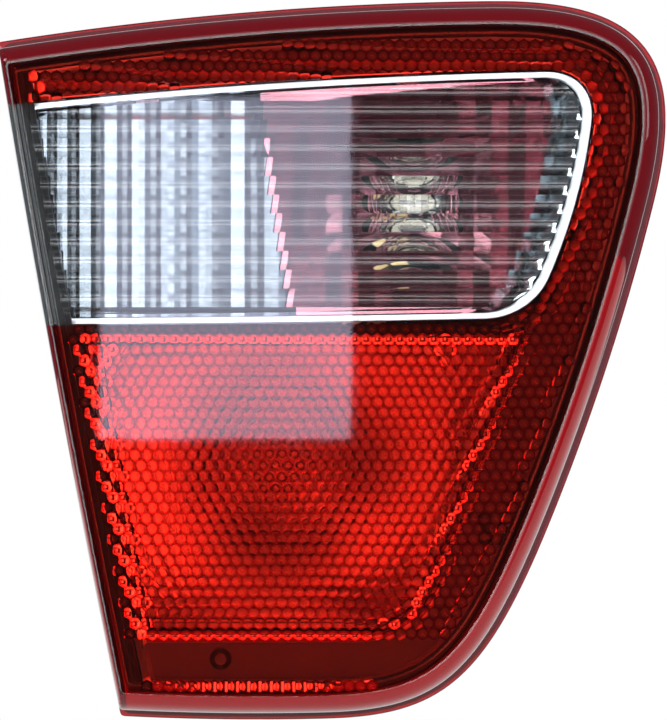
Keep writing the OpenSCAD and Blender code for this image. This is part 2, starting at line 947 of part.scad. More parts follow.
// The lip's outer slope, and the wall inside it
module lip_form() {
    hull() {
        lip_slice(lip_depth, 0);
        lip_slice(trim_depth + ear_t - weld, -lip_slope);
    }
    hull() {
        lip_slice(trim_depth + ear_t, lip_crest_w - reflector_t);
        tail_slice(lip_floor - reflector_t, 0);
    }
}

module lip_space() {
    difference() {
        hull() {
            lip_slice(lip_depth + 0.1, lip_crest_w);
            tail_slice(lip_floor, reflector_t);
        }
        slab(-far, far)
            offset(delta = -reflector_t)
                polygon(tail_line());
    }
}

// The flange's rim, which slopes up to the tub's wall
module flange_rim() {
    difference() {
        slab(-lip_depth, -trim_depth)
            square(2 * far, center = true);
        hull() {
            slab(-lip_depth - 0.1, -lip_depth)
                even_area(land_inset + land_w);
            slab(-trim_depth - ear_t - 0.01, -trim_depth + 1)
                even_area(land_inset + land_w + lip_slope);
        }
    }
}

// The collar round the window, which slopes down to the flange
module flange_collar() {
    hull() {
        slab(-lip_depth, -lip_depth + 0.01)
            window_area(-collar_gap - weld);
        slab(-trim_depth - ear_t, -trim_depth)
            window_area(-collar_gap - lip_slope);
    }
}

module tail_reflector() {
    color("silver")
        difference() {
            intersection() {
                union() {
                    intersection() {
                        slab(-lip_depth, cap_front + 6)
                            polygon(tail_line());
                        bowl_space(tail_at, reflector_t);
                    }
                    slab(-trim_depth - ear_t, -trim_depth)
                        square(2 * far, center = true);
                    lip_form();
                    flange_rim();
                    flange_collar();
                }
                slab(-far, far)
                    trim_area();
            }
            intersection() {
                slab(-land_depth, cap_front + 6)
                    offset(delta = -reflector_t)
                        polygon(tail_line());
                bowl_space(tail_at, 0);
            }
            lip_space();
            rod(tail_at, bulb_hole_r, 0, cap_front + 9);
            ear_hole(tail_side_ear);
            ear_hole(tail_base_ear);
        }
}

// Profile of the fluted wing: each flute is wider than the one to its left
wing_flutes = 10;

function wing_edge(k) =
    let (share = pow(k / wing_flutes, 1.35))
    [mix(wing_start[0], wing_end[0], share),
        mix(wing_start[1], wing_end[1], sin(90 * share))];

function wing_line() =
    [for (k = [0 : wing_flutes - 1]) for (s = [0 : 4])
        let (
            p = wing_edge(k),
            q = wing_edge(k + 1)
        )
        side_point(p, q, -0.14 * norm(q - p), s / 5)];

module fluted_reflector() {
    line = concat(wing_line(), [wing_end]);
    color("lightsteelblue")
        difference() {
            union() {
                intersection() {
                    linear_extrude(height = window_ne[1] + window_bow)
                        polygon(concat(
                            line,
                            [for (k = [len(line) - 1 : -1 : 0]) line[k] + [0, reflector_t]]
                        ));
                    slab(-far, far)
                        intersection() {
                            bowl_area(0);
                            beside_cup(0.15, true);
                        }
                    union() {
                        slab(-face_depth, -channel_depth - fit_gap)
                            square(2 * far, center = true);
                        slab(-face_depth, cap_front)
                            rear_area(housing_wall + fit_gap);
                    }
                }
                intersection() {
                    ear_plate(wing_ear);
                    slab(-far, far)
                        even_area(inner_inset + 2 * fit_gap);
                }
            }
            ear_hole(wing_ear);
        }
}

module screw(at, seat, length) {
    rod(at, screw_r, seat - weld, seat + length);
    turned(at, [[0, -seat], [2.9, -seat], [2.9, -seat + 0.9], [1.6, -seat + 2], [0, -seat + 2]]);
}

module reflector_screws() {
    color("darkgray")
        for (ear = ears)
            screw(ear[0], -ear[2] - ear_t, ear_t + 2.6);
}

// Glass of a bulb: a ball on a neck, open at the cap
module bulb_glass(at) {
    color("azure")
        difference() {
            glass_form(at, glass_r, cap_r - 0.8);
            glass_form(at, glass_r - 0.8, cap_r - 1.6);
        }
}

module glass_form(at, r, neck_r) {
    centre = -cap_front + glass_reach;
    meet = asin(neck_r / r);
    turned(at, concat(
        [[0, -cap_front - (r < glass_r ? 1 : 0)], [neck_r, -cap_front - (r < glass_r ? 1 : 0)]],
        [for (k = [0 : 16])
            let (turn = mix(180 - meet, 0, k / 16))
            [r * sin(turn), centre + r * cos(turn)]]
    ));
}

module bulb_cap(at) {
    color("tan")
        union() {
            rod(at, cap_r, cap_front, cap_front + cap_l);
            rod(at, cap_r - 2.5, cap_front + cap_l - weld, cap_front + cap_l + 1);
            rod(at, 2, cap_front + cap_l + 1 - weld, cap_front + cap_l + 2.4);
            translate([at[0] - cap_r - 1.2, cap_front + 6, at[1]])
                rotate([0, 90, 0])
                    cylinder(r = 1, h = 2 * cap_r + 2.4, $fn = 24);
        }
}

module bulb_filament(at) {
    depth = cap_front - glass_reach - 1;
    color("gray")
        union() {
            for (s = [-1, 1])
                rod(at + [3 * s, 0], 0.35, depth, cap_front, 16);
            translate([at[0] - 3.4, depth, at[1]])
                rotate([0, 90, 0])
                    cylinder(r = 0.55, h = 6.8, $fn = 24);
            translate([at[0] - 3.8, cap_front - 9, at[1]])
                rotate([0, 90, 0])
                    cylinder(r = 1.1, h = 7.6, $fn = 24);
        }
}

socket_r = cap_r + 2.4;
socket_back = cap_front + cap_l + 5;
socket_front = cap_front + 3;

module bulb_carrier() {
    color([0.2, 0.2, 0.22])
        difference() {
            union() {
                slab(carrier_front, carrier_back)
                    union() {
                        carrier_area(carrier_r);
                        for (at = carrier_screw_at)
                            translate(at)
                                circle(r = 4.6, $fn = 48);
                    }
                slab(carrier_front - 7, carrier_front + weld)
                    difference() {
                        carrier_area(opening_r - fit_gap);
                        carrier_area(opening_r - fit_gap - 1.8);
                    }
                for (at = [reverse_at, tail_at])
                    rod(at, socket_r, socket_front, socket_back);
                slab(carrier_back - weld, carrier_back + plug_l)
                    translate(plug_at)
                        square([plug_w + 3.2, plug_h + 3.2], center = true);
                slab(carrier_back + 2, carrier_back + 9)
                    translate(plug_at + [0, plug_h / 2 + 1.6])
                        square([7, 3.6], center = true);
            }
            slab(carrier_back, carrier_back + plug_l + 1)
                translate(plug_at)
                    square([plug_w, plug_h], center = true);
            for (at = [reverse_at, tail_at]) {
                rod(at, cap_r + fit_gap, socket_front - 1, socket_back - 1.6);
                slab(socket_front - 1, cap_front + 7.2)
                    translate(at)
                        square([2 * socket_r + 2, 2.5], center = true);
            }
            for (k = [-1 : 1])
                slab(carrier_front - 1, carrier_back + 1)
                    translate(plug_at + [k * blade_pitch, 0])
                        square([blade_w + 0.2, blade_t + 0.2], center = true);
            for (at = carrier_screw_at)
                rod(at, screw_r + fit_gap, carrier_front - 1, carrier_back + 1);
        }
}

module carrier_seal() {
    color("black")
        slab(tub_depth, carrier_front)
            difference() {
                carrier_area(carrier_r - 0.6);
                carrier_area(opening_r + 0.4);
            }
}

module carrier_screws() {
    color("darkgray")
        for (at = carrier_screw_at) {
            rod(at, screw_r, tub_depth - 6, carrier_back + weld);
            rod(at, 2.9, carrier_back, carrier_back + 1.8);
        }
}

// A brass strip on the carrier's inner face that ends in a blade of the connector
module track(k, ends) {
    start = plug_at + [k * blade_pitch, 0];
    color("goldenrod")
        difference() {
            union() {
                slab(carrier_front - blade_t, carrier_front)
                    union() {
                        translate(start)
                            circle(r = blade_w / 2, $fn = 32);
                        for (end = ends)
                            strip(start, end, blade_w);
                    }
                slab(carrier_front - blade_t, carrier_back + plug_l - 7)
                    translate(start)
                        square([blade_w, blade_t], center = true);
            }
            for (at = [reverse_at, tail_at])
                rod(at, socket_r, carrier_front - 4, carrier_front + 4);
        }
}

module ground_track() {
    track(0, [reverse_at - [blade_pitch, 3], tail_at + [blade_pitch, 3]]);
}

module reverse_track() {
    track(1, [reverse_at]);
}

module tail_track() {
    track(-1, [tail_at]);
}

module socket_springs() {
    color("goldenrod")
        for (at = [reverse_at, tail_at])
            turned(at, [
                [0, -socket_back + 1.6],
                [4, -socket_back + 1.6],
                [2.4, -cap_front - cap_l - 2.4],
                [0, -cap_front - cap_l - 2.4]
            ]);
}

module body_gasket() {
    color([0.1, 0.1, 0.1])
        slab(-gasket_t, 0)
            difference() {
                even_area(gasket_inset);
                even_area(gasket_inset + gasket_w);
            }
}

module stud(at) {
    color("silver")
        union() {
            rod(at, stud_r, -stud_boss_gap - weld, stud_reach);
            rod(at, stud_r + stud_collar, -channel_depth - 1, -stud_boss_gap);
            rod(at, stud_r + 1.9, -channel_depth - 2, -channel_depth, 6);
        }
}

module vent_cap() {
    color([0.15, 0.15, 0.15])
        difference() {
            rod(vent_at, vent_r + 2, tub_depth + 1.6, tub_depth + 8);
            rod(vent_at, vent_r + fit_gap, tub_depth + 1, tub_depth + 6);
            for (turn = [0, 90])
                translate([vent_at[0], tub_depth + 2.4, vent_at[1]])
                    rotate([0, turn, 0])
                        cube([20, 2, 1.6], center = true);
        }
}

red_lens();
clear_lens();
lens_seal();
housing();
window_bezel();
fluted_reflector();
reverse_bowl();
tail_reflector();
reflector_screws();
bulb_glass(reverse_at);  // reverse_bulb_glass
bulb_cap(reverse_at);  // reverse_bulb_cap
bulb_filament(reverse_at);  // reverse_bulb_filament
bulb_glass(tail_at);  // tail_bulb_glass
bulb_cap(tail_at);  // tail_bulb_cap
bulb_filament(tail_at);  // tail_bulb_filament
bulb_carrier();
carrier_seal();
carrier_screws();
ground_track();
reverse_track();
tail_track();
socket_springs();
body_gasket();
stud(stud_top_at);  // stud_top
stud(stud_right_at);  // stud_right
stud(stud_bottom_at);  // stud_bottom
vent_cap();
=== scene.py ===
"""The looks of a tail light cluster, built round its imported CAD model.

Shapes are in millimetres in the object's own frame, and to_metres() turns them into metres. Numbers
inside materials and the studio are in metres. X runs across the lens, Z runs up it and Y runs back
from the lens into the car.
"""
import math

import bmesh
import bpy
import numpy as np
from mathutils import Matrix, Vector


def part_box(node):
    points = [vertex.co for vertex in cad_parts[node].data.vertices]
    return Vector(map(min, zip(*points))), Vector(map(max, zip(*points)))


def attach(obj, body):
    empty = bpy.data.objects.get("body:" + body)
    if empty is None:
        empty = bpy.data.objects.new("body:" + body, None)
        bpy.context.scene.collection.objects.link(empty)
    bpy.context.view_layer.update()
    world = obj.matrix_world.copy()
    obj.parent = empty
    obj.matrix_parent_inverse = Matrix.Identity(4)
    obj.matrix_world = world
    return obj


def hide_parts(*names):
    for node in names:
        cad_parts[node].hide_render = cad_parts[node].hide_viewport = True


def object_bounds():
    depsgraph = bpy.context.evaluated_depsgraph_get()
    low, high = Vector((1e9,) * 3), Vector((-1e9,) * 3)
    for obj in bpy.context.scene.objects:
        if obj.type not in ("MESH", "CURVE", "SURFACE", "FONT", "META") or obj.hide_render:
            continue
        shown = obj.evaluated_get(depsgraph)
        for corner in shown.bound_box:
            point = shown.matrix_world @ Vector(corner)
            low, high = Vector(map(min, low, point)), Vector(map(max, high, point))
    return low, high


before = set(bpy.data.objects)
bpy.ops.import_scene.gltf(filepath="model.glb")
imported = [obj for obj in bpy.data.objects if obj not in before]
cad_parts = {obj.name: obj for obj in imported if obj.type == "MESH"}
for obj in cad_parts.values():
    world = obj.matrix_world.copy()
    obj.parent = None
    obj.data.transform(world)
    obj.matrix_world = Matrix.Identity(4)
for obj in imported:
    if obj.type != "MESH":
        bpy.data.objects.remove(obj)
CAD_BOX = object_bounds()
MM = 0.001

# Outline of the lamp, as in the CAD source: corners, bows of the sides, and how far from its tip
# each rounding of the right corners starts
TOP_LEFT = np.array([-90.5, 85.8])
TOP_RIGHT = TOP_LEFT + (188, 10)
BASE_LEFT = TOP_LEFT + (33.4, -181.7)
BASE_RIGHT = BASE_LEFT + (92.4, 1.2)
TOP_BOW, RIGHT_BOW, BASE_BOW, LEFT_BOW = 4.9, 7.9, 1.5, 1.0
UPPER_CORNER, LOWER_CORNER, LOWER_FOOT = 54, 60, 37
UPPER_ROUND, LOWER_ROUND = 0.72, 0.82
OUTLINE_STEPS = 40

# Outline of the window
WINDOW_NW = TOP_LEFT + (-6, -18.8)
WINDOW_SW = WINDOW_NW - (0, 57.8)
WINDOW_NE = np.array([TOP_RIGHT[0] - 27, WINDOW_NW[1] + 10.6])
WINDOW_SE = np.array([52.7, WINDOW_SW[1] + 1.8])
WINDOW_BOWS = 2.1, 4.0, 0.4
WINDOW_UPPER, WINDOW_LOWER, WINDOW_ROUND = 14, 12, 0.6
WINDOW_STEPS = 24

# Depths, as distances in front of the panel
FACE = 34.0
WALL, WALL_LEFT = 2.4, 2.0
INNER_FACE = FACE - WALL
SKIRT = 25.0
FLANGE_FRONT, FLANGE_BACK = 16.0, 12.0
FOOT_BACK = 7.4

# Insets from the outline, and the smaller ones on the left
STEP, STEP_LEFT = 2.4, 0.6
SHOULDER, SHOULDER_LEFT = 4.6, 1.6
FOOT_OUT, FOOT_IN = 2.9, 5.1
LAND_INSET, LAND_LEFT, LAND_WIDTH = 7.2, 3.0, 3.0

# Optics of the lens
PITCH, ROW = 3.0, 2.8
PILLOW_H = 0.7
BAND_Z, BAND_H = BASE_LEFT[1] + 15.9, 9.6
FLUTE_PITCH, FLUTE_H = 5.0, 0.5
SUNK = 0.3

# Centres and numbers of the spokes on which rings are laid, and the softness of the left corners
LAMP_MID, LAMP_SPOKES = np.array([0.0, 4.0]), 620
WINDOW_MID, WINDOW_SPOKES, BEZEL_SPOKES = np.array([-5.0, 42.0]), 240, 420
CORNER_SOFT = 1.2
TINY, FAR = 1e-6, 1e9


def to_metres(points):
    return np.asarray(points, float) * MM


# Outlines
def across(p, q):
    """The direction to the left of the way from p to q."""
    return np.array([p[1] - q[1], q[0] - p[0]]) / np.linalg.norm(q - p)


def side_point(p, q, bow, t):
    """A point on a side from p to q that bows out to the left of its direction."""
    return p + (q - p) * t + across(p, q) * 4 * bow * t * (1 - t)


def side_at(p, q, bow, t):
    """A point on a bowed side, and the side's direction there."""
    way = q - p + across(p, q) * 4 * bow * (1 - 2 * t)
    return side_point(p, q, bow, t), way / np.linalg.norm(way)


def side(p, q, bow, start, end, steps):
    return [side_point(p, q, bow, start + (end - start) * i / steps) for i in range(steps)]


def meeting(p, v, q, w):
    gap = q - p
    return p + v * (gap[0] * w[1] - gap[1] * w[0]) / (v[0] * w[1] - v[1] * w[0])


def corner(start, end, fullness, steps):
    """A rounded corner between two points that come with their directions."""
    (p, v), (q, w) = start, end
    tip = meeting(p, v, q, w)
    b, c = p + (tip - p) * fullness, q + (tip - q) * fullness
    return [
        p * (1 - t) ** 3 + b * 3 * t * (1 - t) ** 2 + c * 3 * t * t * (1 - t) + q * t**3
        for t in (i / steps for i in range(steps))
    ]


def rounded_right(corners, bows, cuts, rounds, steps):
    """Top, right side and base, clockwise from the top left, with the right corners rounded."""
    a, b, c, d = corners
    top, right, base = bows
    upper, lower, foot = cuts
    right_length = np.linalg.norm(c - b)
    top_end = 1 - upper / np.linalg.norm(b - a)
    right_start, right_end = upper / right_length, 1 - lower / right_length
    base_start = foot / np.linalg.norm(d - c)
    right_top, right_foot = side_at(b, c, right, right_start), side_at(b, c, right, right_end)
    return (
        side(a, b, top, 0, top_end, steps)
        + corner(side_at(a, b, top, top_end), right_top, rounds[0], steps)
        + side(b, c, right, right_start, right_end, steps)
        + corner(right_foot, side_at(c, d, base, base_start), rounds[1], steps)
        + side(c, d, base, base_start, 1, steps)
    )


OUTLINE = np.array(
    rounded_right(
        (TOP_LEFT, TOP_RIGHT, BASE_RIGHT, BASE_LEFT),
        (TOP_BOW, RIGHT_BOW, BASE_BOW),
        (UPPER_CORNER, LOWER_CORNER, LOWER_FOOT),
        (UPPER_ROUND, LOWER_ROUND),
        OUTLINE_STEPS,
    )
    + side(BASE_LEFT, TOP_LEFT, LEFT_BOW, 0, 1, OUTLINE_STEPS)
)
WINDOW = np.array(
    rounded_right(
        (WINDOW_NW, WINDOW_NE, WINDOW_SE, WINDOW_SW),
        WINDOW_BOWS,
        (WINDOW_UPPER, WINDOW_LOWER, WINDOW_LOWER),
        (WINDOW_ROUND, WINDOW_ROUND),
        WINDOW_STEPS,
    )
    + [WINDOW_SW]
)


# Outlines as half-planes: the outward normal of each edge, and its distance from the origin
def edge_planes(line):
    """The half-planes of a clockwise outline."""
    way = np.roll(line, -1, 0) - line
    way = way / np.linalg.norm(way, axis=1)[:, None]
    normal = np.stack([-way[:, 1], way[:, 0]], 1)
    return normal, (normal * line).sum(1)


def moved_in(planes, inset):
    normal, distance = planes
    return normal, distance - inset


def depth_inside(points, planes):
    normal, distance = planes
    return (distance - points @ normal.T).min(1)


def reach(planes, centre, ways):
    """How far each ray from the centre runs before it leaves the half-planes."""
    normal, distance = planes
    speed = ways @ normal.T
    room = distance - normal @ centre
    return np.where(speed > TINY, room / np.maximum(speed, TINY), FAR).min(1)


NORMAL, DISTANCE = edge_planes(OUTLINE)
ON_LEFT = np.arange(len(OUTLINE)) >= len(OUTLINE) - OUTLINE_STEPS
LEFT_PLANES = NORMAL[ON_LEFT], DISTANCE[ON_LEFT]
OTHER_PLANES = NORMAL[~ON_LEFT], DISTANCE[~ON_LEFT]
WINDOW_PLANES = edge_planes(WINDOW)


def closed_line(line):
    """A closed outline with its first point repeated, and how far along it each point lies."""
    closed = np.vstack([line, line[:1]])
    steps = np.linalg.norm(np.diff(closed, axis=0), axis=1)
    return closed, np.concatenate([[0], np.cumsum(steps)])


def spokes(line, centre, count):
    """Directions from the centre to points that lie evenly along an outline."""
    closed, length = closed_line(line)
    at = np.linspace(0, length[-1], count, endpoint=False)
    points = np.stack([np.interp(at, length, closed[:, k]) for k in (0, 1)], 1) - centre
    angles = np.arctan2(points[:, 1], points[:, 0])
    return np.stack([np.cos(angles), np.sin(angles)], 1)


LAMP_WAYS = spokes(OUTLINE, LAMP_MID, LAMP_SPOKES)


def soft_min(a, b, width):
    blend = np.maximum(width - np.abs(a - b), 0) / width
    return np.minimum(a, b) - blend**2 * width / 4


def lamp_ring(inset, left_inset):
    """The outline moved in, on fixed spokes, with its two sharp corners a little rounded."""
    left = reach(moved_in(LEFT_PLANES, left_inset), LAMP_MID, LAMP_WAYS)
    rest = reach(moved_in(OTHER_PLANES, inset), LAMP_MID, LAMP_WAYS)
    return LAMP_MID + LAMP_WAYS * soft_min(left, rest, CORNER_SOFT)[:, None]


def window_ring(planes, ways, left_inset):
    """What the window's half-planes hold on spokes, up to an inset from the lamp's left side."""
    far = reach(planes, WINDOW_MID, ways)
    far = np.minimum(far, reach(moved_in(LEFT_PLANES, left_inset), WINDOW_MID, ways))
    return WINDOW_MID + ways * far[:, None]


def at_depth(ring, front):
    """A ring of the XZ plane at a distance in front of the panel."""
    return np.stack([ring[:, 0], np.full(len(ring), -front), ring[:, 1]], 1)


# Meshes
def linked(name, data):
    piece = bpy.data.objects.new(name, data)
    bpy.context.scene.collection.objects.link(piece)
    return piece


def shade(mesh, creases):
    """Smooth shading, apart from edges that turn by more degrees than this."""
    mesh.polygons.foreach_set("use_smooth", [True] * len(mesh.polygons))
    mesh.set_sharp_from_angle(angle=math.radians(creases))


def closed_mesh(name, points, faces, creases=30):
    """A new object with a closed mesh, whose faces are turned outwards."""
    mesh = bpy.data.meshes.new(name)
    mesh.from_pydata([tuple(p) for p in to_metres(points)], [], faces)
    mesh.update()
    shade(mesh, creases)
    shape = bmesh.new()
    shape.from_mesh(mesh)
    bmesh.ops.recalc_face_normals(shape, faces=shape.faces)
    shape.to_mesh(mesh)
    shape.free()
    return linked(name, mesh)


def loft(rings, closed=False, front_cap=True, back_cap=True):
    """Points and faces of a skin over equal rings; closed joins the last ring to the first."""
    count = len(rings[0])
    faces = []
    last = len(rings) if closed else len(rings) - 1
    for r in range(last):
        a, b = r * count, (r + 1) % len(rings) * count
        for k in range(count):
            n = (k + 1) % count
            faces.append((a + k, a + n, b + n, b + k))
    if not closed and back_cap:
        faces.append(tuple(range(count - 1, -1, -1)))
    if not closed and front_cap:
        start = (len(rings) - 1) * count
        faces.append(tuple(range(start, start + count)))
    return np.vstack(rings), faces


def combine(piece, other, operation):
    """A boolean of two closed meshes, kept in the first; the second is removed."""
    step = piece.modifiers.new("combine", "BOOLEAN")
    step.operation = operation
    step.solver = "MANIFOLD"
    step.object = other
    graph = bpy.context.evaluated_depsgraph_get()
    result = bpy.data.meshes.new_from_object(piece.evaluated_get(graph))
    piece.modifiers.remove(step)
    old = piece.data
    piece.data = result
    bpy.data.meshes.remove(old)
    bpy.data.objects.remove(other)


def prism(name, line, front, back):
    """What an outline of the XZ plane holds between two distances in front of the panel."""
    return closed_mesh(name, *loft([at_depth(line, back), at_depth(line, front)]))


def quarter_turn(count):
    return [math.pi / 2 * k / count for k in range(count + 1)]


# The lens: one hollow moulding, from which the window is cut. Its section's rows are an inset, the
# inset on the left and a distance in front of the panel
FLANGE_SECTION = (
    (FOOT_OUT, FOOT_OUT, FOOT_BACK),
    (FOOT_OUT, FOOT_OUT, FLANGE_BACK),
    (0.25, 0.25, FLANGE_BACK),
    (0.0, 0.0, FLANGE_BACK + 0.25),
    (0.0, 0.0, FLANGE_FRONT - 0.45),
    (0.13, 0.08, FLANGE_FRONT - 0.13),
    (0.45, 0.2, FLANGE_FRONT),
    (STEP - 0.4, STEP_LEFT - 0.2, FLANGE_FRONT),
    (STEP - 0.1, STEP_LEFT - 0.08, FLANGE_FRONT + 0.12),
    (STEP, STEP_LEFT, FLANGE_FRONT + 0.5),
)
INNER_SECTION = (
    (STEP + WALL, STEP_LEFT + WALL_LEFT, FLANGE_FRONT),
    (FOOT_IN, FOOT_IN, FLANGE_FRONT - 0.3),
    (FOOT_IN, FOOT_IN, FOOT_BACK),
)
OUTER_STEPS, INNER_STEPS = 12, 8
FLAT = 0.5
BOX_MARGIN = 0.01
LENS_CREASES = 28


def shoulder(inset, left_inset, front, turns):
    """The quarter turn of the shoulder, from the skirt to a distance in front of the panel."""
    return [
        (
            inset + SHOULDER * (1 - math.cos(turn)),
            left_inset + SHOULDER_LEFT * (1 - math.cos(turn)),
            SKIRT + (front - SKIRT) * math.sin(turn),
        )
        for turn in turns
    ]


def lens_body(name):
    flat, flat_left = STEP + SHOULDER + FLAT, STEP_LEFT + SHOULDER_LEFT + FLAT
    outer = [
        *FLANGE_SECTION,
        *shoulder(STEP, STEP_LEFT, FACE, quarter_turn(OUTER_STEPS)),
        (flat, flat_left, FACE),
    ]
    turns = quarter_turn(INNER_STEPS)[::-1]
    inner = [
        (flat + WALL, flat_left + WALL_LEFT, INNER_FACE),
        *shoulder(STEP + WALL, STEP_LEFT + WALL_LEFT, INNER_FACE, turns),
        *INNER_SECTION,
    ]
    outside = [at_depth(lamp_ring(i, l), y) for i, l, y in outer]
    inside = [at_depth(lamp_ring(i, l), y) for i, l, y in inner]
    points_out, faces_out = loft(outside, back_cap=False)
    points_in, faces_in = loft(inside, front_cap=False)
    shift, count = len(points_out), LAMP_SPOKES
    faces_in = [tuple(v + shift for v in f) for f in faces_in]
    foot = shift + (len(inside) - 1) * count
    rim = [(k, (k + 1) % count, foot + (k + 1) % count, foot + k) for k in range(count)]
    points = np.vstack([points_out, points_in])
    low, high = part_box("red_lens")
    for axis in (0, 2):
        points[:, axis] = points[:, axis].clip(
            low[axis] / MM + BOX_MARGIN, high[axis] / MM - BOX_MARGIN
        )
    return closed_mesh(name, points, faces_out + faces_in + rim)


# The pillows: domes on a lattice of six-sided cells, as one sheet sunk into the wall. A row below
# the plain band goes nearer to the rim than the others
CELL_X = np.array([0, 1, 1, 0, -1, -1]) * PITCH / 2
CORNER_HIGH = (PITCH**2 / 4 + ROW**2) / (2 * ROW)
CORNER_LOW = ROW - CORNER_HIGH
CELL_Z = np.array([CORNER_HIGH, CORNER_LOW, -CORNER_LOW, -CORNER_HIGH, -CORNER_LOW, CORNER_LOW])
PILLOW_ROWS, PILLOW_COLUMNS = 40, 34
PILLOW_EDGE, PILLOW_EDGE_FOOT = 0.5, -1.6
PILLOW_WINDOW = -0.4
PILLOW_STEPS = 3


def pillow_places():
    places = np.array([
        ((column + (0.5 if row % 2 else 0)) * PITCH, row * ROW)
        for row in range(-PILLOW_ROWS, PILLOW_ROWS + 1)
        for column in range(-PILLOW_COLUMNS, PILLOW_COLUMNS + 1)
    ])
    height = places[:, 1]
    edge = LAND_INSET + LAND_WIDTH + np.where(height < BAND_Z, PILLOW_EDGE_FOOT, PILLOW_EDGE)
    inside = depth_inside(places, OTHER_PLANES) > edge
    right = depth_inside(places, LEFT_PLANES) > LAND_LEFT + LAND_WIDTH + PITCH / 2
    off_window = depth_inside(places, WINDOW_PLANES) < PILLOW_WINDOW
    off_band = abs(height - BAND_Z) > BAND_H / 2 + ROW / 2
    return places[inside & right & off_window & off_band]


def pillow_sheet(name, places):
    """Domes over the cells, closed by a flat back; neighbours share the points of their border."""
    radius = (CORNER_HIGH**2 + PILLOW_H**2) / (2 * PILLOW_H)
    steps = PILLOW_STEPS
    index, points, faces = {}, [], []

    def vertex(x, z, rise, layer):
        key = (round(x, 3), round(z, 3), layer)
        if key not in index:
            index[key] = len(points)
            points.append((x, -INNER_FACE + rise, z))
        return index[key]

    borders = {}
    for middle_x, middle_z in places:
        def top(x, z):
            rise = PILLOW_H - radius + math.sqrt(radius**2 - math.hypot(x, z) ** 2)
            return vertex(middle_x + x, middle_z + z, rise, 0)

        rim = []
        for k in range(6):
            n = (k + 1) % 6
            a, b = (CELL_X[k], CELL_Z[k]), (CELL_X[n], CELL_Z[n])

            def between(i, j):
                return (
                    a[0] * (i - j) / steps + b[0] * j / steps,
                    a[1] * (i - j) / steps + b[1] * j / steps,
                )

            grid = [[top(*between(i, j)) for j in range(i + 1)] for i in range(steps + 1)]
            for i in range(steps):
                for j in range(i + 1):
                    faces.append((grid[i][j], grid[i + 1][j], grid[i + 1][j + 1]))
                    if j < i:
                        faces.append((grid[i][j], grid[i + 1][j + 1], grid[i][j + 1]))
            rim += [between(steps, j) for j in range(steps)]
        low = [vertex(middle_x + x, middle_z + z, -SUNK, 1) for x, z in rim]
        high = [top(x, z) for x, z in rim]
        faces.append(tuple(reversed(low)))
        for k in range(len(rim)):
            n = (k + 1) % len(rim)
            quads = borders.setdefault(frozenset((low[k], low[n])), [])
            quads.append((low[k], low[n], high[n], high[k]))
    faces += [quads[0] for quads in borders.values() if len(quads) == 1]
    return closed_mesh(name, points, faces)


# The flutes: half round bars across the window, on a strip sunk into the wall
FLUTE_STEPS = 8
FLUTE_LIFT = 0.1
FLUTE_INSET = 3
FLUTE_OVER = 4


def flute_strip(name):
    radius = ((FLUTE_PITCH / 2) ** 2 + FLUTE_H**2) / (2 * FLUTE_H)
    half = math.asin(FLUTE_PITCH / 2 / radius)
    low, high = WINDOW_SW[1], WINDOW_NE[1]
    flutes = int((high - low) // FLUTE_PITCH) + 1
    profile = [(-INNER_FACE - SUNK, high + FLUTE_OVER), (-INNER_FACE - SUNK, low)]
    for k in range(flutes):
        for s in range(FLUTE_STEPS):
            turn = -half + 2 * half * s / FLUTE_STEPS
            profile.append((
                -INNER_FACE + FLUTE_LIFT + FLUTE_H - radius + radius * math.cos(turn),
                low + FLUTE_PITCH * (k + 0.5) + radius * math.sin(turn),
            ))
    ends = [np.array([(x, y, z) for y, z in profile]) for x in (WINDOW_NW[0], WINDOW_NE[0])]
    return closed_mesh(name, *loft(ends))


# How far the tools that cut the window and its flutes reach past the wall
CUT_OVER, FIELD_FRONT, FIELD_BACK = 5, 0.2, 3


def build_lenses():
    lens = lens_body("red_lens_moulding")
    clear = linked("clear_lens_moulding", lens.data.copy())
    cut = prism("cut", WINDOW, FACE + CUT_OVER, 0)
    keep = prism("keep", WINDOW, FACE + CUT_OVER, 0)
    combine(lens, pillow_sheet("pillows", pillow_places()), "UNION")
    combine(lens, cut, "DIFFERENCE")
    combine(clear, keep, "INTERSECT")
    flutes = flute_strip("flutes")
    ways = spokes(WINDOW, WINDOW_MID, WINDOW_SPOKES)
    field = window_ring(moved_in(WINDOW_PLANES, FLUTE_INSET), ways, LAND_LEFT + LAND_WIDTH)
    tool = prism("field", field[::-1], FACE - FIELD_FRONT, INNER_FACE - FIELD_BACK)
    combine(flutes, tool, "INTERSECT")
    combine(clear, flutes, "UNION")
    shade(lens.data, LENS_CREASES)
    shade(clear.data, LENS_CREASES)
    return lens, clear


# Bright ring round the window, whose right cheek slopes back in scallops. The cheek's rings lie at
# shares of the way from the lip to its mouth, which drops by a power of that share
BEZEL_GAP, BEZEL_W, BEZEL_DEPTH = 0.3, 1.6, 7.0
BEZEL_LEFT = 8.0
LIP_SINK, LIP_ROUND = 0.05, 0.2
LIP_SHARES = 0.12, 0.8
CHEEK_SLOPE, CHEEK_TURN, CHEEK_POWER = 9.0, 0.3, 1.5
CHEEK_SHARES = 0.0, 0.04, 0.12, 0.3, 0.5, 0.75, 1.0
CHEEK_START = 0.4
SCALLOP, SCALLOP_H = 5.2, 0.55
BEZEL_CREASES = 35


